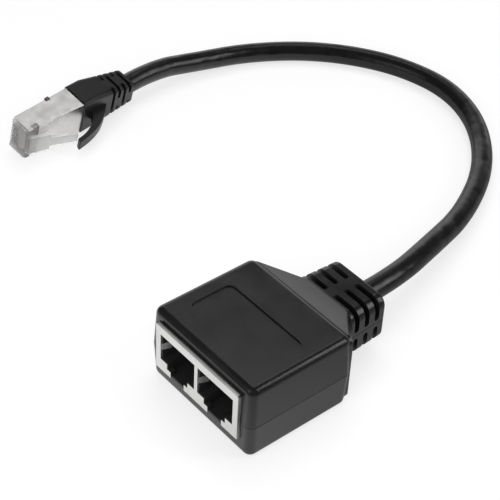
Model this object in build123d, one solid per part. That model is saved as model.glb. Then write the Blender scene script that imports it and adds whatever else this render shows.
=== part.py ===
from build123d import *
import os
from math import cos, pi, radians, sin, tan

# A network splitter: a two-port jack in a black housing, on a short cable with a shielded plug.
# Millimetres. The housing stands on z = 0 with the two ports towards -Y and the cable leaving towards +Y.
# The origin is under the middle of the housing, half way between its face plate and its cable exit.

# Housing
parting_z = 10.1           # height of the seam between the two half shells, and of the cable
jack_side_gap = 1.25       # between the jack and the side walls
jack_roof_gap = 0.6
rear_room = 9.0            # behind the jack
draft_angle = 2.6          # every wall leans in from the seam by this much
wall = 1.9
front_wall = 2.1
side_wall = 2.25           # the side walls lean, so they are thicker at the seam
front_corner_r = 2.1
rear_corner_r = 2.3
rim_r = 1.9                # rounding round the top and the bottom face
seam_gap = 0.12
lip_height = 0.8
lip_wall = 0.75
lip_clearance = 0.1
recess_side_margin = 5.25   # shallow field on the top face
recess_length = 12.6
recess_depth = 0.4
recess_corner_r = 1.9
recess_behind_face = 20.8  # rear edge of the field, measured from the face plate
peg_r = 1.0
peg_clearance = 0.1
peg_length = 3.0
boss_r = 2.2
boss_drop = 0.6            # the bosses end this far below the seam
boss_wall_overlap = 0.2    # the bosses reach this far into the rear wall
stem_half_width = 1.6
stem_gap = 0.3             # between the stems and the tongue of the lower shell
peg_from_wall = 2.5
hold_down_width = 1.2      # ribs of the upper shell over the jack
hold_down_front = 6.0
hold_down_end = 3.0        # the ribs stop this far before the rear cover

# Hopper and strain relief
hopper_length = 7.3
hopper_inset = 0.65        # the hopper starts this far inside the rear outline of the body
hopper_corner_r = 2.2
hopper_root = 1.6          # length of the hopper inside the body
hopper_bend_before_end = 0.3
hopper_bay_margin = 3.65
hopper_bay_floor_gap = 0.6
bay_corner_r = 2.0
bay_ring_room = 1.6        # the bay ends this much wider than the crimp ring
relief_length = 11.5
relief_width = 20.0
relief_end_width = 19.0
relief_height = 14.15
relief_end_height = 13.7
relief_corner_r = 3.0
relief_end_r = 0.8
slot_rows = 3
slot_first = 1.7           # centre of the first row, behind the hopper
slot_last = 2.94           # centre of the last row, before the end
slot_width = 1.5
slot_depth = 2.7
slot_end_r = 0.7
slot_core_r = 2.4          # corners of the solid core that the slots leave
spine_width = 2.9          # solid strip between the slots on top and bottom
side_strip = 2.1           # solid strip between the slots on each side

# Cable
cable_d = 6.0
grip_clearance = 0.05
jacket_past_relief = 5.4   # the jacket goes on into the hopper for this far
ring_wall = 1.5
ring_length = 2.6
ring_from_jacket_end = 1.0
ring_play = 0.05

# Double jack
face_proud = 0.9           # the face plate stands out of the housing by this much
sheet = 0.25               # thickness of the shield
window_clearance = 0.15    # round the shield, in the front wall of the housing
port_width = 12.8
port_gap = 1.17            # between the ports, which makes their pitch 13.97
port_side_margin = 1.765   # face plate beside the ports
port_top_rise = 11.26      # top of a port over the lower edge of the face plate
port_top_margin = 2.34
port_height = 7.8
port_step_width = 7.8
port_step_height = 1.65
port_notch_width = 5.1
corner_slit_length = 1.6
corner_slit_width = 0.35
corner_slit_start = 0.4
finger_height = 2.0        # grounding fingers folded into the ports
finger_drop = 4.16         # middle of a finger, below the top of the port
finger_reach = 2.6
finger_bend = 0.8
finger_tail = 2.3
leg_width = 1.5
leg_depths = (6.0, 16.0)
fold_r = 0.4

# Insulator and contacts of the jack
fit_gap = 0.05
cavity_inset = 0.4         # the moulded cavity is this much narrower on each side than its window
cavity_depth = 13.6
cavity_lip = 1.5           # front lip behind which the latch of a plug catches
latch_floor = 0.65         # thickness of the insulator under the room for a latch
contact_count = 8
contact_pitch = 1.02
contact_d = 0.4
latch_room_side = 0.1      # the room behind the lip is this much narrower than the port's step
trough_width = 9.6
trough_start = 2.3
trough_rise = 1.29         # the trough goes this far above the port
rear_web = 1.4             # between the cavity and the room for the carrier's block
carrier_room = 6.3         # length of that room, up to the back of the jack
tail_from_rear = 1.9
tail_room = 0.6
finger_pocket_reach = 0.9
finger_pocket_margin = 0.15
foot_inset = 2.55
foot_width = 1.6
foot_depths = (4.0, 17.0)
carrier_drop = 0.6         # the carrier lies this far below the top of the trough
carrier_thickness = 0.6
carrier_block_depth = 3.0
carrier_block_rise = 2.1   # underside of the block over the underside of the insulator
carrier_front = 3.2
contact_tip_depth = 9.6
contact_tip_drop = 2.96    # below the top of the port
contact_front_r = 0.3
contact_rear_r = 0.5

# Circuit board
board_thickness = 1.6
board_gap = 0.3            # between the board and the underside of the insulator
board_room = 1.5           # between the floor of the housing and the board
board_inset = 0.55         # the board is this much narrower than the jack on each side
board_boss_gap = 0.5
board_edge_gap = 0.2       # between the board and the front wall
board_rail_width = 1.2
rail_end_gap = 1.0
tail_hole_r = 0.4
joint_r = 0.47
joint_height = 0.35
tail_below_joint = 0.1

# Cores of the cable inside the housing
core_d = 0.9
core_bend_r = 0.75
core_ring_r = 1.6
core_pad_pitch = 4.6
core_row_gap = 1.7
core_straight = 1.4        # the cores leave the jacket straight for this far
core_end_gap = 1.2         # from the rear edge of the board to the last row of pads
drain_d = 0.5
drain_straight = 2.0
drain_rise = 2.0
drain_bend_r = 2.0

# Plug, in its own frame: x from the nose to the cable, y across the contacts, z towards the latch
plug_width = 11.7
plug_nose_height = 6.6
plug_rear_height = 8.1
plug_body_length = 21.5
shield_front = 0.6
shield_in_boot = 3.5
latch_face_front = 4.2     # where the shield starts on the latch side
contact_face_front = 7.0   # where the shield starts on the contact side
side_notch_front = 2.1
side_notch_height = 1.3
plug_fold_r = 0.3
guide_window_front = 12.0
guide_window_length = 1.4
guide_window_height = 0.85
guide_window_reach = 0.5   # the window goes this far into the contact side
guide_proud = 0.25         # the snap of the wire guide stands out of its window by this much
blade_thickness = 0.35
blade_length = 5.6
blade_height = 2.65
blade_front = 0.35
blade_sunk = 0.15          # the blades lie this far inside the shield's inner face
blade_slot = 0.5
blade_slot_height = 3.0
blade_slot_length = 6.2
plug_wire_d = 0.9
plug_wire_z = 3.75
plug_wire_front = 1.4
plug_wire_length = 12.4
guide_front = 8.6
guide_length = 6.0
guide_height = 2.6
plug_bay_front = 8.3       # open bay at the rear of the plug body
plug_wall = 0.7
latch_root_width = 6.2
latch_arm_width = 3.3
latch_thickness = 1.0
latch_root_end = 6.6
latch_root_rise = 1.85
latch_root_depth = 1.2     # the root goes this far into the body
latch_front = 0.3
latch_bend = 1.9           # rear face of the root
latch_tip = 14.3
latch_tip_z = 12.7
guide_foot_width = 0.7
guide_arm_top = 1.75

# Boot of the plug
boot_front = 20.1
boot_wall = 0.5
boot_sleeve_length = 4.8   # the boot keeps its full width for this far
boot_length = 19.2
boot_front_r = 1.2
boot_sleeve_r = 1.4
boot_end_r = 1.8
boot_pocket_end_gap = 0.3  # behind the rear edge of the shield
jacket_end_gap = 0.1       # between the shield and the jacket
boot_end_half_width = 4.15
boot_end_half_height = 3.95
boot_sag = 0.5             # the soft end of the boot hangs to one side by this much
boot_axis_z = 5.2
boot_slot_first = 11.4     # centre of the first row, behind the front of the boot
boot_slot_last = 1.5       # centre of the last row, before the end
boot_slot_rows = 4
boot_slot_width = 1.05
boot_slot_depth = 0.8
boot_slot_gap = 3.4
guard_width = 3.3          # latch guard that arches forwards over the tip of the latch

# Side outline of the latch guard: distance behind the boot's front edge, height above the plug's rear
guard_outer = [(9.3, -0.2), (6.6, 2.5), (4.5, 4.0), (2.0, 5.4), (-0.8, 6.4), (-4.8, 7.2), (-7.9, 7.5)]
guard_inner = [(-7.1, 6.0), (-2.7, 5.2), (0.1, 3.8), (2.3, 1.8), (3.3, -0.2)]
guard_rounding = 0.35

# Where the plug lies: its nose, its heading, and how it leans on its lower edge
plug_nose_x = -113.1
plug_nose_y = -3.6
plug_heading = 97.7
plug_pitch = 1.8
plug_lean = 15.7
plug_first_run = 12.0      # the cable leaves the boot in line with the plug for this far

# Route of the free cable, from the strain relief to the plug
first_run = 12.5
route_between = [
    (-5.2, 56.5, 8.0),
    (-11.5, 75.5, 4.8),
    (-23.8, 97.0, 3.3),
    (-40.5, 111.8, 3.1),
    (-58.5, 117.8, 3.1),
    (-75.5, 114.8, 3.1),
    (-89.5, 107.0, 3.1),
    (-101.5, 95.5, 3.1),
    (-110.5, 80.0, 3.3),
    (-113.8, 62.8, 4.8),
]

# Blocks that are joined go into each other, and cuts go past a face, by these
overlap = 0.2
beyond = 1.0

# Sizes and places that follow from those above
port_pitch = port_width + port_gap
jack_width = port_pitch + port_width + 2 * port_side_margin
body_width = jack_width + 2 * (jack_side_gap + side_wall)
jack_depth = cavity_depth + rear_web + carrier_room
body_depth = jack_depth - face_proud + rear_room + wall
total_length = face_proud + body_depth + hopper_length + relief_length
recess_width = body_width - 2 * recess_side_margin

face_y = -total_length / 2
body_front_y = face_y + face_proud
body_rear_y = body_front_y + body_depth
body_mid_y = (body_front_y + body_rear_y) / 2
hopper_end_y = body_rear_y + hopper_length
exit_y = hopper_end_y + relief_length
slot_pitch = (relief_length - slot_first - slot_last) / (slot_rows - 1)
jacket_end_y = hopper_end_y - jacket_past_relief
jacket_in_housing = exit_y - jacket_end_y
hopper_bay_end_y = jacket_end_y + ring_from_jacket_end + ring_length + ring_play
port_x = port_pitch / 2
bay_half_width = body_width / 2 - side_wall
peg_x = bay_half_width - peg_from_wall

board_bottom_z = wall + board_room
board_top_z = board_bottom_z + board_thickness
board_width = jack_width - 2 * board_inset
board_front_y = body_front_y + front_wall + board_edge_gap
board_rear_y = body_rear_y - wall - 2 * boss_r + boss_wall_overlap - board_boss_gap
jack_bottom_z = board_top_z + board_gap
port_top_z = jack_bottom_z + port_top_rise
jack_top_z = port_top_z + port_top_margin
roof_z = jack_top_z + jack_roof_gap
body_height = roof_z + wall
finger_mid_z = port_top_z - finger_drop
latch_floor_z = jack_bottom_z + latch_floor
trough_top_z = port_top_z + trough_rise
carrier_top_z = trough_top_z - carrier_drop
carrier_block_bottom_z = jack_bottom_z + carrier_block_rise
contact_tip_z = port_top_z - contact_tip_drop
tail_y = face_y + jack_depth - tail_from_rear
foot_x = jack_width / 2 - foot_inset

shield_rear = boot_front + shield_in_boot
boot_rear = boot_front + boot_length
boot_slot_start = boot_front + boot_slot_first
boot_slot_pitch = (boot_rear - boot_slot_start - boot_slot_last) / (boot_slot_rows - 1)


def at_depth(depth):
    """y of a place so far behind the face plate"""
    return face_y + depth


def span_box(x0, x1, y0, y1, z0, z1):
    """box between two corners"""
    middle = Pos((x0 + x1) / 2, (y0 + y1) / 2, (z0 + z1) / 2)
    return middle * Box(x1 - x0, y1 - y0, z1 - z0)


def standing_bar(x, y, z0, z1, radius):
    """round bar that stands between two heights"""
    return Pos(x, y, (z0 + z1) / 2) * Cylinder(radius, z1 - z0)


def upright_section(y, width, z0, z1, radius):
    """rounded rectangle that stands across the cable's direction"""
    plane = Plane(origin=(0, y, (z0 + z1) / 2), x_dir=(1, 0, 0), z_dir=(0, 1, 0))
    return plane * RectangleRounded(width, z1 - z0, radius)


def tube_along(points, diameter, radii):
    """round bar along straight runs joined by tangent arcs"""
    path = FilletPolyline(*points, radius=radii)
    section = Plane(origin=path @ 0, z_dir=path % 0) * Circle(diameter / 2)
    return sweep(section, path=path)


# Housing


def body_outline(height):
    """outline of the body, so far above or below the seam"""
    inset = height * tan(radians(draft_angle))
    outline = Rectangle(body_width - 2 * inset, body_depth - 2 * inset)
    outline = fillet(outline.vertices().group_by(Axis.Y)[0], front_corner_r)
    outline = fillet(outline.vertices().group_by(Axis.Y)[-1], rear_corner_r)
    return Pos(0, body_mid_y, 0) * outline


def outer_body():
    """the two drafted halves of the body, rounded at top and bottom"""
    seam = Pos(0, 0, parting_z) * body_outline(0)
    top = Pos(0, 0, body_height) * body_outline(body_height - parting_z)
    bottom = body_outline(parting_z)
    upper = loft([seam, top], ruled=True)
    lower = loft([bottom, seam], ruled=True)
    upper = fillet(upper.edges().group_by(Axis.Z)[-1], rim_r)
    lower = fillet(lower.edges().group_by(Axis.Z)[0], rim_r)
    return upper + lower


def outer_hopper():
    """four-sided hopper between the body and the strain relief"""
    lean = tan(radians(draft_angle))
    start_y = body_rear_y - hopper_root
    width = body_width - 2 * hopper_inset
    z0 = parting_z - relief_height / 2
    low = hopper_inset + parting_z * lean / 2
    high = body_height - hopper_inset - (body_height - parting_z) * lean / 2
    start = upright_section(start_y, width, low, high, hopper_corner_r)
    mid = upright_section(body_rear_y - hopper_bend_before_end, width, low, high, hopper_corner_r)
    end = upright_section(hopper_end_y, relief_width, z0, z0 + relief_height, relief_corner_r)
    return loft([start, mid], ruled=True) + loft([mid, end], ruled=True)


def outer_relief():
    """block of the strain relief, before its slots"""
    rise = relief_height / 2
    end_rise = relief_end_height / 2
    start = upright_section(hopper_end_y, relief_width, parting_z - rise, parting_z + rise, relief_corner_r)
    low, high = parting_z - end_rise, parting_z + end_rise
    end = upright_section(exit_y, relief_end_width, low, high, relief_corner_r)
    block = loft([start, end], ruled=True)
    return fillet(block.edges().group_by(Axis.Y)[-1], relief_end_r)


def relief_slots():
    """slots of the strain relief: three rows, each broken by the top, bottom and side strips"""
    core = extrude(
        upright_section(
            hopper_end_y,
            relief_end_width - 2 * slot_depth,
            parting_z - relief_end_height / 2 + slot_depth,
            parting_z + relief_end_height / 2 - slot_depth,
            slot_core_r,
        ),
        amount=exit_y - hopper_end_y,
    )
    reach = relief_width
    cut = span_box(spine_width / 2, reach, 0, slot_width, side_strip / 2, reach)
    upright_ends = cut.edges().filter_by(Axis.Z).group_by(Axis.X)[0]
    level_ends = cut.edges().filter_by(Axis.X).group_by(Axis.Z)[0]
    cut = fillet(upright_ends + level_ends, slot_end_r)
    slots = []
    for row in range(slot_rows):
        y = hopper_end_y + slot_first + row * slot_pitch - slot_width / 2
        quarter = Pos(0, y, parting_z) * cut
        pair = quarter + mirror(quarter, about=Plane.YZ)
        ring = pair + mirror(pair, about=Plane.XY.offset(parting_z))
        slots.append(ring - core)
    return slots


def inner_bay():
    """room inside the body and the hopper"""
    body = span_box(
        -bay_half_width, bay_half_width, body_front_y + front_wall, body_rear_y - wall, wall, roof_z
    )
    rise = parting_z - wall - hopper_bay_floor_gap
    start_y = body_rear_y - wall - overlap / 10
    bay_width = body_width - 2 * hopper_bay_margin
    start = upright_section(start_y, bay_width, parting_z - rise, parting_z + rise, bay_corner_r)
    half = (cable_d + bay_ring_room) / 2 + ring_wall
    end = upright_section(hopper_bay_end_y, 2 * half, parting_z - half, parting_z + half, bay_corner_r)
    return body + loft([start, end], ruled=True)


def jack_window():
    """opening for the shield of the jack in the front wall"""
    half = jack_width / 2 + window_clearance
    return span_box(
        -half,
        half,
        face_y,
        body_front_y + front_wall + beyond,
        jack_bottom_z - window_clearance,
        jack_top_z + window_clearance,
    )


def top_recess():
    """shallow bare field on the top face"""
    mid_y = at_depth(recess_behind_face) - recess_length / 2
    field = RectangleRounded(recess_width, recess_length, recess_corner_r)
    return extrude(Pos(0, mid_y, body_height - recess_depth) * field, amount=recess_depth + beyond)


def cable_channel():
    """round channel that grips the jacket"""
    length = exit_y - hopper_bay_end_y + 2 * beyond
    bore = Cylinder(cable_d / 2 + grip_clearance, length)
    return Pos(0, hopper_bay_end_y - beyond + length / 2, parting_z) * Rot(90, 0, 0) * bore


def lip_ring(clearance):
    """tongue of the lower shell that locates the upper one"""
    half = bay_half_width
    front = body_front_y + front_wall
    rear = body_rear_y - wall
    grow = lip_wall + clearance
    top = parting_z + lip_height + clearance
    outer = span_box(-half - grow, half + grow, front - grow, rear, parting_z - overlap, top)
    inner = span_box(-half, half, front, rear + beyond, parting_z - beyond, top + beyond)
    return outer - inner


def peg_places():
    """x and y of the pegs that join the half shells"""
    y = body_rear_y - wall - boss_r + boss_wall_overlap
    return [(-peg_x, y), (peg_x, y)]


def whole_housing():
    """both half shells in one, before the cut at the seam"""
    solid = outer_body() + outer_hopper() + outer_relief()
    for ring in relief_slots():
        solid = solid - ring
    return solid - inner_bay() - jack_window() - cable_channel() - top_recess()


def half_space(side, start):
    """large block above or below the seam"""
    reach = total_length
    if side > 0:
        return span_box(-reach, reach, -reach, reach, start, start + reach)
    return span_box(-reach, reach, -reach, reach, start - reach, start)


def upper_shell(housing):
    """upper half shell with its pegs and the ribs that hold the jack down"""
    shell = housing & half_space(1, parting_z + seam_gap)
    shell = shell - lip_ring(lip_clearance)
    stem_bottom = parting_z + lip_height + stem_gap
    peg_bottom = parting_z - peg_length
    stem_width = 2 * stem_half_width
    for x, y in peg_places():
        stem = Pos(x, y, (stem_bottom + roof_z + overlap) / 2) * Box(
            stem_width, stem_width, roof_z + overlap - stem_bottom
        )
        peg = standing_bar(x, y, peg_bottom, stem_bottom + overlap, peg_r)
        shell = shell + stem + peg
    half = hold_down_width / 2
    rib_start = at_depth(hold_down_front)
    rib_end = at_depth(jack_depth - hold_down_end)
    for x in (-port_x, port_x):
        rib = span_box(x - half, x + half, rib_start, rib_end, jack_top_z + fit_gap, roof_z + overlap)
        shell = shell + rib
    return shell


def lower_shell(housing):
    """lower half shell with its tongue, the peg bosses and the rails under the board"""
    shell = housing & half_space(-1, parting_z)
    shell = shell + (lip_ring(0.0) - jack_window())
    boss_top = parting_z - boss_drop
    hole_r = peg_r + peg_clearance
    hole_bottom = parting_z - peg_length - stem_gap
    for x, y in peg_places():
        boss = standing_bar(x, y, wall - overlap, boss_top, boss_r)
        shell = shell + boss - standing_bar(x, y, hole_bottom, parting_z + beyond, hole_r)
    half = board_rail_width / 2
    rail_start = board_front_y + rail_end_gap
    rail_end = board_rear_y - rail_end_gap
    for side in (-1, 1):
        x = side * (board_width / 2 - board_rail_width)
        shell = shell + span_box(x - half, x + half, rail_start, rail_end, wall - overlap, board_bottom_z)
    return shell


# Double jack


def port_profile(inset, floor_z):
    """stepped outline of one port: full width, then the step and the notch for a latch"""
    step_z = port_top_z - port_height
    notch_z = step_z - port_step_height
    top = port_top_z - inset / 2
    full = (port_width - 2 * inset) / 2
    step = (port_step_width - inset / 2) / 2
    notch = (port_notch_width - inset / 4) / 2
    right = [
        (notch, floor_z),
        (notch, notch_z + inset / 2),
        (step, notch_z + inset / 2),
        (step, step_z + inset / 2),
        (full, step_z + inset / 2),
        (full, top),
    ]
    left = [(-x, z) for x, z in reversed(right)]
    return right + left


def port_prism(inset, floor_z, depth_from, depth_to):
    """the stepped outline carried into the jack"""
    plane = Plane(origin=(0, at_depth(depth_to), 0), x_dir=(1, 0, 0), z_dir=(0, -1, 0))
    outline = plane * Polygon(*port_profile(inset, floor_z), align=None)
    return extrude(outline, amount=depth_to - depth_from, dir=(0, -1, 0))


def grounding_finger(x, side):
    """finger folded inwards from one side of a port, bent back at its end"""
    edge = x + side * port_width / 2
    start = (edge + side * sheet / 2, at_depth(sheet / 2))
    bend = (edge - side * finger_bend, at_depth(finger_reach))
    tail = (edge - side * 0.1, at_depth(finger_reach + finger_tail))
    strip = trace(Polyline(start, bend, tail), line_width=sheet * 0.8)
    return extrude(Pos(0, 0, finger_mid_z - finger_height / 2) * strip, amount=finger_height)


def jack_shield():
    """one folded sheet: face plate with two windows, top, sides, legs and grounding fingers"""
    half = jack_width / 2
    outer = span_box(-half, half, face_y, at_depth(jack_depth - sheet), jack_bottom_z, jack_top_z)
    inside = span_box(
        -half + sheet,
        half - sheet,
        at_depth(sheet),
        at_depth(jack_depth + beyond),
        jack_bottom_z - beyond,
        jack_top_z - sheet,
    )
    folds = outer.edges().filter_by(Axis.Y).group_by(Axis.Z)[-1]
    outer = fillet(folds, fold_r)
    shield = outer - inside
    slit_start = at_depth(corner_slit_start)
    slit_end = at_depth(corner_slit_start + corner_slit_length)
    for side in (-1, 1):
        inner_x, outer_x = sorted((side * (half - corner_slit_width), side * (half + beyond)))
        slit_bottom = jack_top_z - corner_slit_width
        shield = shield - span_box(inner_x, outer_x, slit_start, slit_end, slit_bottom, jack_top_z + beyond)
        leg_x = sorted((side * (half - sheet), side * half))
        for depth in leg_depths:
            leg_end = at_depth(depth + leg_width)
            leg = span_box(*leg_x, at_depth(depth), leg_end, board_bottom_z, jack_bottom_z + overlap)
            shield = shield + leg
        window = port_prism(0.0, jack_bottom_z - beyond, -beyond, sheet + overlap / 10)
        shield = shield - Pos(side * port_x, 0, 0) * window
    for x in (-port_x, port_x):
        shield = shield + grounding_finger(x, -1) + grounding_finger(x, 1)
    return shield


def jack_rear_cover():
    """flat rear cover of the shield"""
    half = jack_width / 2
    front = at_depth(jack_depth - sheet)
    cover = span_box(-half, half, front, at_depth(jack_depth), jack_bottom_z, jack_top_z)
    return fillet(cover.edges().filter_by(Axis.Y).group_by(Axis.Z)[-1], fold_r)


def insulator_cuts(x, front, rear):
    """everything cut out of the insulator at one port"""
    step_z = port_top_z - port_height
    room_half = port_step_width / 2 - latch_room_side
    half = trough_width / 2
    low = jack_bottom_z - beyond
    cavity = Pos(x, 0, 0) * port_prism(cavity_inset, latch_floor_z, 0.0, cavity_depth)
    room_top = step_z + beyond
    latch_room = span_box(
        x - room_half, x + room_half, at_depth(cavity_lip), at_depth(cavity_depth), latch_floor_z, room_top
    )
    trough_low = port_top_z - beyond
    trough = span_box(x - half, x + half, at_depth(trough_start), rear + beyond, trough_low, trough_top_z)
    block_start = at_depth(cavity_depth + rear_web)
    block_bottom = carrier_block_bottom_z
    block_room = span_box(x - half, x + half, block_start, rear + beyond, block_bottom, trough_top_z)
    tails = span_box(x - half, x + half, tail_y - tail_room, rear + beyond, low, trough_top_z)
    cuts = [cavity, latch_room, trough, block_room, tails]
    pocket_end = at_depth(finger_reach + finger_tail + tail_room)
    rise = finger_height / 2 + finger_pocket_margin
    for side in (-1, 1):
        edge = x + side * port_width / 2
        inner_x, outer_x = sorted((edge - side * finger_pocket_reach, edge + side * overlap))
        cuts.append(
            span_box(inner_x, outer_x, front - beyond, pocket_end, finger_mid_z - rise, finger_mid_z + rise)
        )
    return cuts


def insulator():
    """moulded insulator with two cavities, the rooms for latches and the rear pockets of the carriers"""
    half = jack_width / 2 - sheet - fit_gap
    front = at_depth(sheet + fit_gap)
    rear = at_depth(jack_depth - sheet - fit_gap)
    block = span_box(-half, half, front, rear, jack_bottom_z, jack_top_z - sheet - fit_gap)
    for x in (-port_x, port_x):
        for cut in insulator_cuts(x, front, rear):
            block = block - cut
    foot_height = jack_bottom_z + overlap - board_top_z
    foot = Box(foot_width, foot_width, foot_height)
    for x in (-foot_x, foot_x):
        for depth in foot_depths:
            block = block + Pos(x, at_depth(depth), board_top_z + foot_height / 2) * foot
    return block


def contact_carrier(x):
    """L-shaped carrier that the contacts of one port wrap round"""
    half = trough_width / 2 - fit_gap
    rear = tail_y - contact_d / 2 - fit_gap
    tray_bottom = carrier_top_z - carrier_thickness
    tray = span_box(x - half, x + half, at_depth(carrier_front), rear, tray_bottom, carrier_top_z)
    block_front = rear - carrier_block_depth
    block_bottom = carrier_block_bottom_z + fit_gap
    block_top = carrier_top_z - carrier_thickness / 2
    return tray + span_box(x - half, x + half, block_front, rear, block_bottom, block_top)


def port_contacts(x):
    """eight sprung wires of one port, from their tips round the carrier and down through the board"""
    run_z = carrier_top_z + contact_d / 2 + fit_gap
    turn_y = at_depth(carrier_front) - contact_d / 2 - fit_gap
    under_z = carrier_top_z - carrier_thickness - contact_d / 2 - fit_gap
    points = [
        (0, at_depth(contact_tip_depth), contact_tip_z),
        (0, turn_y, under_z),
        (0, turn_y, run_z),
        (0, tail_y, run_z),
        (0, tail_y, board_bottom_z - joint_height - tail_below_joint),
    ]
    wire = tube_along(points, contact_d, [contact_front_r, contact_front_r, contact_rear_r])
    wires = []
    for index in range(contact_count):
        offset = (index - (contact_count - 1) / 2) * contact_pitch
        wires.append(Pos(x + offset, 0, 0) * wire)
    return Compound(children=wires)


# Board, cores and what holds the cable


def tail_places():
    """x of every contact tail"""
    places = []
    for side in (-1, 1):
        for index in range(contact_count):
            places.append(side * port_x + (index - (contact_count - 1) / 2) * contact_pitch)
    return places


def circuit_board():
    """board under the jack, drilled for the contact tails"""
    board = span_box(
        -board_width / 2, board_width / 2, board_front_y, board_rear_y, board_bottom_z, board_top_z
    )
    for x in tail_places():
        board = board - Pos(x, tail_y, board_top_z) * Cylinder(tail_hole_r, 3 * board_thickness)
    return board


def solder_joints():
    """one small collar of solder under the board at every contact tail"""
    collar = Cylinder(joint_r, joint_height) - Cylinder(contact_d / 2, 2 * joint_height)
    collars = []
    for x in tail_places():
        collars.append(Pos(x, tail_y, board_bottom_z - joint_height / 2) * collar)
    return Compound(children=collars)


def core_wire(index):
    """one insulated core, from the end of the jacket to its pad on the board"""
    upper = index < contact_count // 2
    column = index % (contact_count // 2)
    step = 2 * pi / contact_count
    angle = step / 2 + step * (contact_count // 2 - 1 - column)
    start_x = core_ring_r * cos(angle)
    rise = core_ring_r * sin(angle)
    start_z = parting_z + rise if upper else parting_z - rise
    pad_x = (column - (contact_count // 2 - 1) / 2) * core_pad_pitch
    pad_y = board_rear_y - core_end_gap - (core_row_gap if upper else 0.0)
    points = [
        (start_x, jacket_end_y, start_z),
        (start_x, jacket_end_y - core_straight, start_z),
        (pad_x, pad_y, start_z),
        (pad_x, pad_y, board_top_z),
    ]
    return tube_along(points, core_d, [core_bend_r, core_bend_r])


def drain_wire():
    """bare wire from the cable's screen to the rear cover of the jack"""
    z = parting_z + cable_d / 2 - drain_d
    points = [
        (0, jacket_end_y, z),
        (0, jacket_end_y - drain_straight, z),
        (0, at_depth(jack_depth), z + drain_rise),
    ]
    return tube_along(points, drain_d, [drain_bend_r])


def crimp_ring():
    """ring crimped on the jacket behind the strain relief, so that the cable can't pull out"""
    ring = Cylinder(cable_d / 2 + ring_wall, ring_length) - Cylinder(cable_d / 2, 2 * ring_length)
    return Pos(0, hopper_bay_end_y - ring_play - ring_length / 2, parting_z) * Rot(90, 0, 0) * ring


def cable_inside_housing():
    """stretch of jacket held in the strain relief"""
    stretch = Cylinder(cable_d / 2, jacket_in_housing)
    return Pos(0, exit_y - jacket_in_housing / 2, parting_z) * Rot(90, 0, 0) * stretch


# Plug, in its own frame


def plug_side(front, rear, inset):
    """side outline of the plug, which grows taller towards the cable"""
    slope = (plug_rear_height - plug_nose_height) / (boot_front - shield_front)
    top_front = plug_nose_height + slope * (front - shield_front) - inset
    top_rear = min(plug_nose_height + slope * (rear - shield_front), plug_rear_height) - inset
    points = [(front, inset), (rear, inset), (rear, top_rear)]
    if rear > boot_front:
        points.append((boot_front, plug_rear_height - inset))
    points.append((front, top_front))
    return points


def plug_prism(points, width):
    """side outline carried across the plug"""
    plane = Plane(origin=(0, 0, 0), x_dir=(1, 0, 0), z_dir=(0, -1, 0))
    face = plane * Polygon(*points, align=None)
    return extrude(face, amount=width / 2, both=True)


def blade_places():
    """y of every contact blade and wire of the plug"""
    return [(index - (contact_count - 1) / 2) * contact_pitch for index in range(contact_count)]


def plug_shield():
    """stamped shield of the plug: two sides, the contact side behind the blades and the latch side"""
    shield = plug_prism(plug_side(shield_front, shield_rear, 0.0), plug_width)
    shield = fillet(shield.edges().filter_by(Axis.X).group_by(Axis.Z)[0], plug_fold_r)
    hollow = plug_side(shield_front - beyond, shield_rear + beyond, sheet)
    inside = plug_prism(hollow, plug_width - 2 * sheet)
    shield = shield - inside
    inner_half = plug_width / 2 - sheet
    mid_z = plug_nose_height / 2
    above = plug_rear_height + beyond
    shield = shield - span_box(-beyond, contact_face_front, -inner_half, inner_half, -beyond, mid_z)
    shield = shield - span_box(-beyond, latch_face_front, -inner_half, inner_half, mid_z, above)
    notch_bottom = plug_nose_height - side_notch_height
    notch = span_box(side_notch_front, latch_face_front, -plug_width, plug_width, notch_bottom, above)
    shield = shield - notch
    window_end = guide_window_front + guide_window_length
    for side in (-1, 1):
        low, high = sorted((side * (inner_half - guide_window_reach), side * plug_width))
        shield = shield - span_box(guide_window_front, window_end, low, high, -beyond, guide_window_height)
    return shield


def plug_body():
    """clear moulded body with its contact slots, its rear bay and its latch"""
    width = plug_width - 2 * sheet - 2 * fit_gap
    inset = sheet + fit_gap
    body = plug_prism(plug_side(0.0, plug_body_length, inset), width)
    bay_half = width / 2 - plug_wall
    bay_end = plug_body_length + beyond
    bay_top = plug_nose_height - overlap
    bay = span_box(plug_bay_front, bay_end, -bay_half, bay_half, inset + plug_wall, bay_top)
    channel_half = contact_count * contact_pitch / 2
    channel_end = plug_bay_front + beyond
    low = plug_wire_z - plug_wire_d / 2 - fit_gap
    high = plug_wire_z + plug_wire_d / 2 + fit_gap
    channel = span_box(plug_wire_front, channel_end, -channel_half, channel_half, low, high)
    body = body - bay - channel
    slot_top = inset + blade_slot_height
    half = blade_slot / 2
    for y in blade_places():
        body = body - span_box(-beyond, blade_slot_length, y - half, y + half, -beyond, slot_top)
    window_start = guide_window_front - 2 * fit_gap
    window_end = guide_window_front + guide_window_length + 2 * fit_gap
    for side in (-1, 1):
        low, high = sorted((side * (bay_half - overlap), side * width / 2))
        body = body - span_box(window_start, window_end, low, high, -beyond, guide_arm_top + 2 * fit_gap)
    return body + plug_latch()


def latch_profile():
    """side outline of the latch: a hook at the nose, the root and the sprung arm"""
    root_z = plug_nose_height + latch_root_rise
    root_bottom = plug_nose_height - latch_root_depth
    return [
        (latch_front, root_bottom),
        (latch_front, plug_nose_height + 0.1),
        (latch_front + 0.8, plug_nose_height + 0.9),
        (latch_root_end, root_z + latch_thickness),
        (latch_tip, latch_tip_z),
        (latch_tip + 0.3, latch_tip_z - latch_thickness * 0.8),
        (latch_root_end + 0.3, root_z),
        (latch_bend + 0.7, plug_nose_height + 0.35),
        (latch_bend, plug_nose_height - 0.1),
        (latch_bend, root_bottom),
    ]


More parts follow.
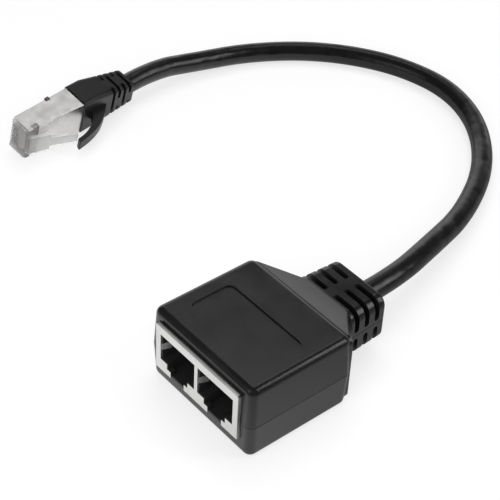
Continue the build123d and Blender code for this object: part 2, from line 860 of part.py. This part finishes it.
def plug_latch():
    """latch of the plug: wide at its root, narrow along its arm"""
    latch = plug_prism(latch_profile(), latch_root_width)
    for side in (-1, 1):
        low, high = sorted((side * latch_arm_width / 2, side * latch_root_width))
        latch = latch - span_box(latch_root_end, latch_tip + beyond, low, high, 0.0, latch_tip_z + beyond)
    return latch


def plug_contacts():
    """eight contact blades in the slots of the body"""
    middle = Vector(blade_front + blade_length / 2, 0, sheet + blade_sunk + blade_height / 2)
    blade = Box(blade_length, blade_thickness, blade_height)
    blades = [Pos(middle.X, y, middle.Z) * blade for y in blade_places()]
    return Compound(children=blades)


def plug_wires():
    """eight wires side by side under the blades"""
    wires = []
    for y in blade_places():
        wire = Pos(plug_wire_front + fit_gap, y, plug_wire_z) * Rot(0, 90, 0) * Cylinder(
            plug_wire_d / 2, plug_wire_length, align=(Align.CENTER, Align.CENTER, Align.MIN)
        )
        wires.append(wire)
    return Compound(children=wires)


def guide_side_box(side, y0, y1, z0, z1):
    """block of the wire guide's snap on one side, as long as its window leaves room for"""
    low, high = sorted((side * y0, side * y1))
    start = guide_window_front + fit_gap
    return span_box(start, start + guide_window_length - 2 * fit_gap, low, high, z0, z1)


def wire_guide():
    """dark guide that holds the wires and snaps into two windows of the shield"""
    half = plug_width / 2 - sheet - fit_gap - plug_wall - fit_gap
    z0 = plug_wire_z - guide_height / 2
    guide = span_box(guide_front, guide_front + guide_length, -half, half, z0, z0 + guide_height)
    for y in blade_places():
        guide = guide - Pos(guide_front + guide_length / 2, y, plug_wire_z) * Rot(0, 90, 0) * Cylinder(
            plug_wire_d / 2 + fit_gap, 2 * guide_length
        )
    floor_z = sheet + fit_gap + plug_wall + fit_gap
    out = plug_width / 2
    arm_out = out - sheet - 2 * fit_gap
    foot_in = half - guide_foot_width
    arm_in = half + 2 * fit_gap
    snap_in = out - sheet - guide_window_reach + fit_gap
    for side in (-1, 1):
        knee = guide_side_box(side, foot_in, arm_out, floor_z, guide_arm_top)
        foot = guide_side_box(side, foot_in, half, floor_z, z0 + overlap)
        drop = guide_side_box(side, arm_in, arm_out, sheet + fit_gap, floor_z + overlap)
        snap = guide_side_box(side, snap_in, out + guide_proud, -guide_proud, guide_window_height - fit_gap)
        guide = guide + knee + foot + drop + snap
    return guide


def boot_section(x, y, half_width, z0, z1, radius):
    """rounded rectangle across the plug's length"""
    plane = Plane(origin=(x, y, (z0 + z1) / 2), x_dir=(0, 1, 0), z_dir=(1, 0, 0))
    return plane * RectangleRounded(2 * half_width, z1 - z0, radius)


def boot_shape(inset):
    """form of the boot, so far inside its surface: a sleeve, and a taper down to the cable"""
    half = plug_width / 2 + boot_wall - inset
    low = inset - boot_wall
    high = plug_rear_height + boot_wall - inset
    rise = boot_end_half_height - inset
    end_half = boot_end_half_width - inset
    taper_start = boot_front + boot_sleeve_length
    front = boot_section(boot_front, 0, half, low, high, boot_front_r)
    middle = boot_section(taper_start, 0, half, low, high, boot_sleeve_r)
    end = boot_section(boot_rear, -boot_sag, end_half, boot_axis_z - rise, boot_axis_z + rise, boot_end_r)
    return loft([front, middle], ruled=True) + loft([middle, end], ruled=True)


def boot_slots():
    """staggered slots: odd rows go round the contact and latch sides, even rows round the other two"""
    core = boot_shape(boot_slot_depth)
    reach = plug_width
    slots = []
    for row in range(boot_slot_rows):
        x = boot_slot_start + row * boot_slot_pitch
        x0, x1 = x - boot_slot_width / 2, x + boot_slot_width / 2
        gap = boot_slot_gap / 2
        if row % 2 == 0:
            upper = span_box(x0, x1, -reach, reach, boot_axis_z + gap, boot_axis_z + reach)
            lower = span_box(x0, x1, -reach, reach, boot_axis_z - reach, boot_axis_z - gap)
        else:
            upper = span_box(x0, x1, gap - boot_sag, reach, boot_axis_z - reach, boot_axis_z + reach)
            lower = span_box(x0, x1, -reach, -gap - boot_sag, boot_axis_z - reach, boot_axis_z + reach)
        slots.append((upper + lower) - core)
    return slots


def latch_guard():
    """curved guard that rises from the boot and arches forwards over the tip of the latch"""
    outer = Spline(*[(boot_front + behind, plug_rear_height + above) for behind, above in guard_outer])
    inner = Spline(*[(boot_front + behind, plug_rear_height + above) for behind, above in guard_inner])
    tip = Line(outer @ 1, inner @ 0)
    foot = Line(inner @ 1, outer @ 0)
    plane = Plane(origin=(0, 0, 0), x_dir=(1, 0, 0), z_dir=(0, -1, 0))
    face = plane * make_face(outer + tip + inner + foot)
    guard = extrude(face, amount=guard_width / 2, both=True)
    return fillet(guard.edges().filter_by(Axis.Y).group_by(Axis.X)[0], guard_rounding)


def plug_boot():
    """soft boot over the rear of the plug and the start of the cable"""
    boot = boot_shape(0.0) + latch_guard()
    for ring in boot_slots():
        boot = boot - ring
    half = plug_width / 2 + fit_gap
    pocket_end = shield_rear + boot_pocket_end_gap
    pocket = span_box(0.0, pocket_end, -half, half, -fit_gap, plug_rear_height + fit_gap)
    bore = Pos(shield_rear, -boot_sag, boot_axis_z) * Rot(0, 90, 0) * Cylinder(
        cable_d / 2 + grip_clearance, boot_rear, align=(Align.CENTER, Align.CENTER, Align.MIN)
    )
    return boot - pocket - bore


def cable_inside_boot():
    """stretch of jacket held in the boot, up to the rear of the shield"""
    start = shield_rear + jacket_end_gap
    return Pos(start, -boot_sag, boot_axis_z) * Rot(0, 90, 0) * Cylinder(
        cable_d / 2, boot_rear - start, align=(Align.CENTER, Align.CENTER, Align.MIN)
    )


def plug_plane(height):
    """frame of the plug where it lies, with its nose so high above the surface"""
    heading = radians(plug_heading)
    pitch = radians(plug_pitch)
    lean = radians(plug_lean)
    along = Vector(cos(pitch) * cos(heading), cos(pitch) * sin(heading), sin(pitch))
    level = along.cross(Vector(0, 0, 1)).normalized()
    upright = level.cross(along)
    across = upright * cos(lean) + level * sin(lean)
    latch_way = along.cross(across)
    return Plane(origin=(plug_nose_x, plug_nose_y, height), x_dir=along, z_dir=latch_way)


# Free cable


def cable_points(plane):
    """route from the strain relief to the boot of the plug"""
    start = Vector(0, exit_y, parting_z)
    second = Vector(0, exit_y + first_run, parting_z)
    last = plane.from_local_coords(Vector(boot_rear, -boot_sag, boot_axis_z))
    before = plane.from_local_coords(Vector(boot_rear + plug_first_run, -boot_sag, boot_axis_z))
    return [start, second] + [Vector(*point) for point in route_between] + [before, last]


def arc_radii(points):
    """radius at every corner of the route: 0.45 of the shorter run over the tangent of half the turn"""
    radii = []
    for before, here, after in zip(points, points[1:], points[2:]):
        first = here - before
        second = after - here
        half_turn = radians(first.get_angle(second) / 2)
        radii.append(0.45 * min(first.length, second.length) / tan(half_turn))
    return radii


def free_cable(plane):
    """tube of the free cable, and a print of its bends and its length"""
    points = cable_points(plane)
    radii = arc_radii(points)
    path = FilletPolyline(*points, radius=radii)
    section = Plane(origin=path @ 0, z_dir=path % 0) * Circle(cable_d / 2)
    cable = sweep(section, path=path)
    print("route", [tuple(round(value, 2) for value in point) for point in points])
    print("radii", [round(radius, 1) for radius in radii])
    ratio = cable.volume / (pi * cable_d**2 / 4 * path.length)
    print("cable length", round(path.length, 1), "volume over section times length", round(ratio, 4))
    return cable


# Everything, one file for each piece


def build():
    """all pieces by name"""
    housing = whole_housing()
    pieces = {
        "upper_shell": upper_shell(housing),
        "lower_shell": lower_shell(housing),
        "jack_shield": jack_shield(),
        "jack_rear_cover": jack_rear_cover(),
        "jack_insulator": insulator(),
        "contact_carrier_left": contact_carrier(-port_x),
        "contact_carrier_right": contact_carrier(port_x),
        "port_contacts_left": port_contacts(-port_x),
        "port_contacts_right": port_contacts(port_x),
        "circuit_board": circuit_board(),
        "solder_joints": solder_joints(),
        "drain_wire": drain_wire(),
        "crimp_ring": crimp_ring(),
        "cable_inside_housing": cable_inside_housing(),
    }
    for index in range(contact_count):
        pieces[f"core_wire_{index + 1}"] = core_wire(index)
    plug = {
        "plug_body": plug_body(),
        "plug_shield": plug_shield(),
        "plug_contacts": plug_contacts(),
        "plug_wires": plug_wires(),
        "plug_wire_guide": wire_guide(),
        "plug_boot": plug_boot(),
        "cable_inside_boot": cable_inside_boot(),
    }
    level = plug_plane(0.0)
    lowest = min((level.location * piece).bounding_box().min.Z for piece in plug.values())
    resting = plug_plane(-lowest)
    for name, piece in plug.items():
        pieces[name] = resting.location * piece
    pieces["cable_jacket"] = free_cable(resting)
    return pieces


os.makedirs("parts", exist_ok=True)
for name, piece in build().items():
    export_step(piece, f"parts/{name}.step")
    print(name, len(piece.solids()), "solids", round(piece.volume, 1), "mm3")
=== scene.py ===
from math import cos, radians, sin

import bmesh
import bpy
import numpy as np
from mathutils import Matrix, Vector


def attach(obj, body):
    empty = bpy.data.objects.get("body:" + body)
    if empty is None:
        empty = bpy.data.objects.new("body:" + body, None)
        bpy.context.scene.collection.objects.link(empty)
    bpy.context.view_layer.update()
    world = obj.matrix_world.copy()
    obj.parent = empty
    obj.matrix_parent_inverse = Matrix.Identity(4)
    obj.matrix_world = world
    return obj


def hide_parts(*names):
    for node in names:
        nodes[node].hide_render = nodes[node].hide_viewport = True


# A two-port network splitter on a short cable. Metres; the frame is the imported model's own.
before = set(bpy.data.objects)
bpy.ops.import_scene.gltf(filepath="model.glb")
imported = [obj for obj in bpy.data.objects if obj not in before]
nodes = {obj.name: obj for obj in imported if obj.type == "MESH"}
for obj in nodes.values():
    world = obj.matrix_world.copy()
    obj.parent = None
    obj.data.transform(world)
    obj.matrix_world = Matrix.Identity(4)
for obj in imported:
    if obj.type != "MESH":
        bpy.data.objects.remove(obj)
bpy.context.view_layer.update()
MM = 0.001

# Camera: where the photograph was taken from, with its angles in degrees
eye = Vector((190.67, -179.09, 258.46)) * MM
view_azimuth = 48.593
view_elevation = 40.153
view_roll = 2.956
lens_mm = 108.4
sensor_mm = 36.0
view_reach = 20.0

# Cable: its route is in millimetres, from the strain relief to the plug
cable_d = 6.0 * MM
cable_route = [
    (0.0, 25.5, 10.1),
    (0.0, 38.0, 10.1),
    (-5.2, 56.5, 8.0),
    (-11.5, 75.5, 4.8),
    (-23.8, 97.0, 3.3),
    (-40.5, 111.8, 3.1),
    (-58.5, 117.8, 3.1),
    (-75.5, 114.8, 3.1),
    (-89.5, 107.0, 3.1),
    (-101.5, 95.5, 3.1),
    (-110.5, 80.0, 3.3),
    (-113.8, 62.8, 4.8),
    (-115.15, 47.92, 7.25),
    (-113.54, 36.04, 6.87),
]
steps_round = 12
steps_along = 24

# Edge roundings of the moulded and the folded pieces
shell_edge = 0.22 * MM
boot_edge = 0.16 * MM
sheet_edge = 0.05 * MM
fold_edge = 0.24 * MM
clear_edge = 0.12 * MM

# How a copied mesh is joined, flattened and shaded round its roundings; angles in degrees
weld_distance = 0.002 * MM
flat_angle = 0.6
sharp_angle = 33.0
flat_face_weight = 100

# Noise stays mostly between these two values
usual_noise = (0.3, 0.7)

# Floor: its colour and the white added where it is seen. In a reflection that white fades to
# the right and towards the camera; each pair says where it is gone and where it is full
floor_reach = 3.0
floor_colour = 0.4
floor_glow = 0.69
fade_right = (72.0 * MM, -40.0 * MM)
fade_near = (75.0 * MM, 32.0 * MM)

# Room: a bright band stands low behind the object. Each pair says where it is gone and where
# it is full: its sides by how much of a direction points straight back, and its top edge in
# degrees above the floor. The top edge leans down to the right
band_side = (0.66, 0.84)
band_top = (38.5, 30.0)
band_lean = 0.55
band_level = 1.0
room_level = 0.06

# Lamps: name, place, the point it looks at, size, watts, and whether reflections show it
lamps = [
    ("overhead", (-0.15, 0.20, 0.80), (-0.05, 0.05, 0.0), (0.70, 0.70), 2.4, False),
    ("front", (0.25, -0.45, 0.45), (-0.06, 0.0, 0.0), (0.60, 0.60), 2.6, False),
    ("back_left", (-0.33, 0.35, 0.70), (-0.115, 0.02, 0.0), (0.34, 0.24), 0.30, True),
    ("back_right", (0.40, 0.455, 0.40), (-0.05, 0.05, 0.0), (0.25, 0.46), 1.10, True),
    ("near", (-0.085, -0.40, 0.27), (-0.075, 0.112, 0.0), (0.30, 0.30), 0.20, True),
]


def make_camera():
    """camera that looks from the eye, turned by azimuth, elevation and roll"""
    a, e, r = radians(view_azimuth), radians(view_elevation), radians(view_roll)
    back = Vector((sin(a) * cos(e), -cos(a) * cos(e), sin(e)))
    level_right = Vector((cos(a), sin(a), 0.0))
    level_up = back.cross(level_right)
    right = level_right * cos(r) + level_up * sin(r)
    up = level_up * cos(r) - level_right * sin(r)
    turn = Matrix((right, up, back)).transposed().to_4x4()
    camera = bpy.data.objects.new("camera", bpy.data.cameras.new("camera"))
    camera.matrix_world = Matrix.Translation(eye) @ turn
    camera.data.lens = lens_mm
    camera.data.sensor_width = sensor_mm
    camera.data.clip_end = view_reach
    bpy.context.scene.collection.objects.link(camera)
    bpy.context.scene.camera = camera


make_camera()


# What the materials share


def linear(hex_colour):
    """sRGB colour as #rrggbb, turned to linear red, green, blue and alpha"""
    srgb = [int(hex_colour[i : i + 2], 16) / 255 for i in (1, 3, 5)]
    return (*[c / 12.92 if c <= 0.04045 else ((c + 0.055) / 1.055) ** 2.4 for c in srgb], 1.0)


def add(tree, kind, inputs=None, **settings):
    """a node with its settings; each input takes a value or a link"""
    node = tree.nodes.new(kind)
    for name, value in settings.items():
        setattr(node, name, value)
    for key, value in (inputs or {}).items():
        if isinstance(value, bpy.types.NodeSocket):
            tree.links.new(value, node.inputs[key])
        else:
            node.inputs[key].default_value = value
    return node


def features_per_metre(size_mm):
    """texture scale for features of that size"""
    return 1.0 / (size_mm * MM)


def uneven(tree, size_mm, detail=2.0, roughness=0.5):
    """unevenness of about that size, a noise on the piece's own coordinates"""
    place = add(tree, "ShaderNodeTexCoord").outputs["Object"]
    return add(tree, "ShaderNodeTexNoise", {
        "Vector": place,
        "Scale": features_per_metre(size_mm),
        "Detail": detail,
        "Roughness": roughness,
    }).outputs["Fac"]


def mottled(tree, tint, sheen, colours, roughness):
    """base colour that follows one unevenness, and roughness that follows another"""
    ramp = add(tree, "ShaderNodeValToRGB", {"Fac": tint})
    for stop, position, colour in zip(ramp.color_ramp.elements, usual_noise, colours):
        stop.position = position
        stop.color = linear(colour)
    rough = add(tree, "ShaderNodeMapRange", {
        "Value": sheen,
        "From Min": usual_noise[0],
        "From Max": usual_noise[1],
        "To Min": roughness[0],
        "To Max": roughness[1],
    })
    return {"Base Color": ramp.outputs["Color"], "Roughness": rough.outputs["Result"]}


def new_material(name):
    """empty node material and its tree"""
    material = bpy.data.materials.new(name)
    material.use_nodes = True
    material.node_tree.nodes.clear()
    return material, material.node_tree


def surfaced(material, inputs):
    """the material, once its surface has these inputs"""
    tree = material.node_tree
    surface = add(tree, "ShaderNodeBsdfPrincipled", inputs)
    add(tree, "ShaderNodeOutputMaterial", {"Surface": surface.outputs["BSDF"]})
    return material


# Materials. An unevenness is given in millimetres. Moulding grains and rolling lines are drawn
# coarser than the real ones, because at their real size they would not show


def textured_abs():
    """Black ABS from a spark-eroded mould: a fine grain breaks up the sheen"""
    material, tree = new_material("textured_black_abs")
    grain = uneven(tree, 0.36, detail=3.0, roughness=0.6)
    cloud = uneven(tree, 7.0, detail=3.0)
    bump = add(tree, "ShaderNodeBump", {"Strength": 0.55, "Distance": 0.03 * MM, "Height": grain})
    return surfaced(material, {
        **mottled(tree, cloud, cloud, ("#161617", "#1c1c1d"), (0.20, 0.28)),
        "IOR": 1.54,
        "Normal": bump.outputs["Normal"],
    })


def cable_pvc():
    """Black extruded PVC: a soft gloss, made wavy by the twisted cores under it"""
    material, tree = new_material("extruded_black_pvc")
    waves = uneven(tree, 5.0, detail=1.0)
    grain = uneven(tree, 0.5)
    slow = add(tree, "ShaderNodeBump", {"Strength": 0.6, "Distance": 0.45 * MM, "Height": waves})
    fine = add(tree, "ShaderNodeBump", {
        "Strength": 0.12,
        "Distance": 0.03 * MM,
        "Height": grain,
        "Normal": slow.outputs["Normal"],
    })
    return surfaced(material, {
        **mottled(tree, waves, waves, ("#121213", "#161617"), (0.24, 0.32)),
        "IOR": 1.53,
        "Normal": fine.outputs["Normal"],
    })


def soft_boot_pvc():
    """Soft black PVC of the plug's boot: matt with a silky sheen"""
    material, tree = new_material("soft_moulded_pvc")
    grain = uneven(tree, 0.4, detail=3.0, roughness=0.6)
    cloud = uneven(tree, 6.0)
    bump = add(tree, "ShaderNodeBump", {"Strength": 0.25, "Distance": 0.02 * MM, "Height": grain})
    return surfaced(material, {
        **mottled(tree, cloud, cloud, ("#171718", "#1c1c1d"), (0.40, 0.48)),
        "IOR": 1.53,
        "Normal": bump.outputs["Normal"],
    })


def sheet_steel(name, colours, roughness, line_mm):
    """Rolled sheet steel with a thin plating: its fine rolling lines run along Y"""
    material, tree = new_material(name)
    place = add(tree, "ShaderNodeTexCoord").outputs["Object"]
    along_y = add(tree, "ShaderNodeMapping", {"Vector": place, "Scale": (1.0, 0.12, 1.0)})
    lines = add(tree, "ShaderNodeTexNoise", {
        "Vector": along_y.outputs["Vector"],
        "Scale": features_per_metre(line_mm),
        "Detail": 3.0,
    }).outputs["Fac"]
    cloud = uneven(tree, 3.0)
    bump = add(tree, "ShaderNodeBump", {"Strength": 0.05, "Distance": 0.01 * MM, "Height": lines})
    return surfaced(material, {
        **mottled(tree, lines, cloud, colours, roughness),
        "Metallic": 1.0,
        "Normal": bump.outputs["Normal"],
    })


def insulator_pbt():
    """Black glass-filled PBT of the jack's insides: matt"""
    material, tree = new_material("matt_black_pbt")
    grain = uneven(tree, 0.3, detail=3.0)
    bump = add(tree, "ShaderNodeBump", {"Strength": 0.3, "Distance": 0.02 * MM, "Height": grain})
    return surfaced(material, {
        **mottled(tree, grain, grain, ("#232324", "#2b2b2c"), (0.5, 0.62)),
        "IOR": 1.55,
        "Normal": bump.outputs["Normal"],
    })


def contact_metal(name, colours):
    """Spring bronze of the contacts, gold plated, or darkened where its colour is painted shade:
    smooth, a little uneven
    """
    material, tree = new_material(name)
    cloud = uneven(tree, 0.8)
    return surfaced(material, {
        **mottled(tree, cloud, cloud, colours, (0.18, 0.28)),
        "Metallic": 1.0,
    })


def board_laminate():
    """Glass-fibre laminate under a green solder mask: the weave shows faintly"""
    material, tree = new_material("green_masked_laminate")
    weave = uneven(tree, 0.6)
    return surfaced(material, {
        **mottled(tree, weave, weave, ("#1f5a34", "#2a6b40"), (0.3, 0.4)),
        "IOR": 1.5,
    })


def bright_tin():
    """Tin and solder: bright, slightly frosted"""
    material, tree = new_material("bright_tin")
    cloud = uneven(tree, 0.5)
    return surfaced(material, {
        **mottled(tree, cloud, cloud, ("#c9cacc", "#dcdde0"), (0.22, 0.34)),
        "Metallic": 1.0,
    })


def core_polyethylene(name, colours):
    """Coloured polyethylene on one core of the cable: waxy"""
    material, tree = new_material(name)
    cloud = uneven(tree, 1.5)
    return surfaced(material, {
        **mottled(tree, cloud, cloud, colours, (0.38, 0.48)),
        "IOR": 1.51,
    })


def moulded_polycarbonate(name, colours, clearness, solidity):
    """Moulded polycarbonate: glassy and milky, with faint flow marks. Below a solidity of 1
    some light passes straight through, so that what lies inside is lit and shows"""
    material, tree = new_material(name)
    flow = uneven(tree, 2.5, detail=1.0)
    bump = add(tree, "ShaderNodeBump", {"Strength": 0.2, "Distance": 0.03 * MM, "Height": flow})
    return surfaced(material, {
        **mottled(tree, flow, flow, colours, (0.03, 0.07)),
        "IOR": 1.46,
        "Transmission Weight": clearness,
        "Alpha": solidity,
        "Normal": bump.outputs["Normal"],
    })


abs_black = textured_abs()
jacket_black = cable_pvc()
boot_black = soft_boot_pvc()
jack_steel = sheet_steel("tinned_sheet_steel", ("#d9d9d7", "#e3e3e1"), (0.32, 0.42), 0.3)
plug_steel = sheet_steel("nickel_plated_steel", ("#d6d5d3", "#e0dfdd"), (0.26, 0.34), 0.25)
pbt_black = insulator_pbt()
gold = contact_metal("gold_plated_bronze", ("#d9a441", "#e8bd62"))
# Painted shade: the plug's contacts are drawn dark brown for the shade they lie in inside the
# plug
contacts_painted_shade = contact_metal("phosphor_bronze_painted_shade", ("#565143", "#676153"))
laminate = board_laminate()
tin = bright_tin()
clear = moulded_polycarbonate("clear_polycarbonate", ("#f8f8f8", "#fefefe"), 0.54, 0.64)
# Painted shade: the plug's wire guide is clear, and this dark brown tint stands in for the shadow
# in the shield's notches, where it shows
guide_painted_shade = moulded_polycarbonate("polycarbonate_in_painted_shade", ("#4c3a39", "#5e4a49"), 0.2, 1.0)
wire_brown = core_polyethylene("copper_brown_cores", ("#8a4d3c", "#a86550"))
core_colours = [
    ("#d98b45", "#e6a266"),
    ("#c8621c", "#d9762c"),
    ("#8fbf8a", "#a8d0a2"),
    ("#24509a", "#2f61b0"),
    ("#8fa8d0", "#a6bce0"),
    ("#2c7a3c", "#389048"),
    ("#a88a74", "#bda18c"),
    ("#5c3a28", "#704a36"),
]


# Pieces


def ride(piece, replaced):
    """the piece goes with the part and stands for that CAD piece, which is hidden"""
    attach(piece, "root")
    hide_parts(replaced)


def make_cable():
    """cable: a smooth quadratic curve on the route's points, with a round section"""
    curve = bpy.data.curves.new("cable", "CURVE")
    curve.dimensions = "3D"
    curve.bevel_depth = cable_d / 2
    curve.bevel_resolution = steps_round
    curve.resolution_u = steps_along
    curve.use_fill_caps = True
    spline = curve.splines.new("NURBS")
    spline.points.add(len(cable_route) - 1)
    for point, place in zip(spline.points, cable_route):
        point.co = (*(MM * value for value in place), 1.0)
    spline.order_u = 3
    spline.use_endpoint_u = True
    cable = bpy.data.objects.new("cable", curve)
    bpy.context.scene.collection.objects.link(cable)
    curve.materials.append(jacket_black)
    ride(cable, "cable_jacket")
    return cable


def copied(name):
    """copy of a CAD piece's mesh, its loose triangles joined and its flat faces made whole"""
    mesh = nodes[name].data.copy()
    shape = bmesh.new()
    shape.from_mesh(mesh)
    bmesh.ops.remove_doubles(shape, verts=shape.verts, dist=weld_distance)
    bmesh.ops.dissolve_limit(
        shape,
        angle_limit=radians(flat_angle),
        verts=shape.verts,
        edges=shape.edges,
        use_dissolve_boundaries=False,
    )
    for face in shape.faces:
        face.smooth = True
    shape.to_mesh(mesh)
    shape.free()
    mesh.materials.clear()
    return mesh


def softened(name, width, segments, material):
    """copy of a CAD piece with its sharp edges rounded"""
    mesh = copied(name)
    mesh.materials.append(material)
    piece = bpy.data.objects.new(name + "_finished", mesh)
    bpy.context.scene.collection.objects.link(piece)
    bevel = piece.modifiers.new("rounded_edges", "BEVEL")
    bevel.width = width
    bevel.segments = segments
    bevel.limit_method = "ANGLE"
    bevel.angle_limit = radians(sharp_angle)
    bevel.use_clamp_overlap = True
    bevel.miter_outer = "MITER_ARC"
    smooth = piece.modifiers.new("even_shading", "WEIGHTED_NORMAL")
    smooth.keep_sharp = True
    smooth.weight = flat_face_weight
    ride(piece, name)
    return piece


cable = make_cable()
softened("upper_shell", shell_edge, 3, abs_black)
softened("lower_shell", shell_edge, 3, abs_black)
softened("jack_shield", sheet_edge, 2, jack_steel)
plug_pieces = [
    softened("plug_shield", fold_edge, 3, plug_steel),
    softened("plug_boot", boot_edge, 3, boot_black),
    softened("plug_body", clear_edge, 2, clear),
]

# CAD pieces that stay as they are, each in its real material, except that the dark colours of the
# plug's wire guide and contacts are painted shade
finishes = {
    "jack_insulator": pbt_black,
    "contact_carrier_left": pbt_black,
    "contact_carrier_right": pbt_black,
    "plug_wire_guide": guide_painted_shade,
    "port_contacts_left": gold,
    "port_contacts_right": gold,
    "plug_contacts": contacts_painted_shade,
    "cable_inside_housing": jacket_black,
    "cable_inside_boot": jacket_black,
    "solder_joints": tin,
    "drain_wire": tin,
    "jack_rear_cover": jack_steel,
    "crimp_ring": jack_steel,
    "circuit_board": laminate,
    "plug_wires": wire_brown,
}
for number, colours in enumerate(core_colours, start=1):
    finishes[f"core_wire_{number}"] = core_polyethylene(f"core_colour_{number}", colours)
for name, material in finishes.items():
    nodes[name].data.materials.clear()
    nodes[name].data.materials.append(material)

for name in ("plug_contacts", "plug_wires", "plug_wire_guide", "cable_inside_boot"):
    plug_pieces.append(nodes[name])


# Studio


def step_along(tree, place, way, start, end):
    """soft step from 0 at the start to 1 at the end, by how far a place lies that way"""
    along = add(tree, "ShaderNodeVectorMath", {0: place, 1: way}, operation="DOT_PRODUCT")
    return add(tree, "ShaderNodeMapRange", {
        "Value": along.outputs["Value"],
        "From Min": start,
        "From Max": end,
    }, interpolation_type="SMOOTHSTEP").outputs["Result"]


def white_paper():
    """White paper: drawn grey, so that shadows show, with white added where it is seen"""
    material, tree = new_material("white_paper")
    seen = add(tree, "ShaderNodeLightPath").outputs
    place = add(tree, "ShaderNodeTexCoord").outputs["Object"]
    a = radians(view_azimuth)
    on_right = step_along(tree, place, (cos(a), sin(a), 0.0), *fade_right)
    near = step_along(tree, place, (sin(a), -cos(a), 0.0), *fade_near)
    kept = add(tree, "ShaderNodeMath", {0: on_right, 1: near}, operation="MULTIPLY")
    reflected = add(tree, "ShaderNodeMath", {
        0: seen["Is Glossy Ray"], 1: kept.outputs["Value"],
    }, operation="MULTIPLY")
    direct = add(tree, "ShaderNodeMath", {
        0: seen["Is Camera Ray"], 1: seen["Is Transmission Ray"],
    }, operation="MAXIMUM")
    share = add(tree, "ShaderNodeMath", {
        0: direct.outputs["Value"], 1: reflected.outputs["Value"],
    }, operation="MAXIMUM")
    glow = add(tree, "ShaderNodeEmission", {
        "Color": share.outputs["Value"], "Strength": floor_glow,
    })
    grey = (floor_colour, floor_colour, floor_colour, 1.0)
    paper = add(tree, "ShaderNodeBsdfDiffuse", {"Color": grey})
    lifted = add(tree, "ShaderNodeAddShader", {0: paper.outputs[0], 1: glow.outputs[0]})
    add(tree, "ShaderNodeOutputMaterial", {"Surface": lifted.outputs["Shader"]})
    return material


def make_floor():
    """pale floor: a level square, whose corners are its reach along X and Y either way"""
    corners = floor_reach * np.array([(-1, -1, 0), (1, -1, 0), (1, 1, 0), (-1, 1, 0)])
    mesh = bpy.data.meshes.new("floor")
    mesh.from_pydata(corners, [], [(0, 1, 2, 3)])
    mesh.materials.append(white_paper())
    floor = bpy.data.objects.new("floor", mesh)
    bpy.context.scene.collection.objects.link(floor)


def make_world():
    """a bright band low behind the object and a dark room elsewhere"""
    world = bpy.data.worlds.new("studio")
    bpy.context.scene.world = world
    world.use_nodes = True
    tree = world.node_tree
    tree.nodes.clear()
    direction = add(tree, "ShaderNodeTexCoord").outputs["Generated"]
    a = radians(view_azimuth)
    lean = (band_lean * cos(a), band_lean * sin(a), 1.0)
    behind = step_along(tree, direction, (-sin(a), cos(a), 0.0), *band_side)
    low = step_along(tree, direction, lean, *(sin(radians(angle)) for angle in band_top))
    band = add(tree, "ShaderNodeMath", {0: behind, 1: low}, operation="MULTIPLY")
    level = add(tree, "ShaderNodeMapRange", {
        "Value": band.outputs["Value"], "To Min": room_level, "To Max": band_level,
    })
    room = add(tree, "ShaderNodeBackground", {
        "Color": (1.0, 1.0, 1.0, 1.0), "Strength": level.outputs["Result"],
    })
    add(tree, "ShaderNodeOutputWorld", {"Surface": room.outputs["Background"]})


def softbox(name, place, aim, size, power, reflected):
    """area lamp that looks at a point; reflections show it or leave it out"""
    lamp = bpy.data.lights.new(name, "AREA")
    lamp.shape = "RECTANGLE"
    lamp.size, lamp.size_y = size
    lamp.energy = power
    box = bpy.data.objects.new(name, lamp)
    box.location = place
    box.rotation_euler = (Vector(aim) - Vector(place)).to_track_quat("-Z", "Y").to_euler()
    box.visible_glossy = reflected
    bpy.context.scene.collection.objects.link(box)


make_floor()
make_world()
for lamp in lamps:
    softbox(*lamp)

bpy.context.scene.view_settings.view_transform = "Standard"
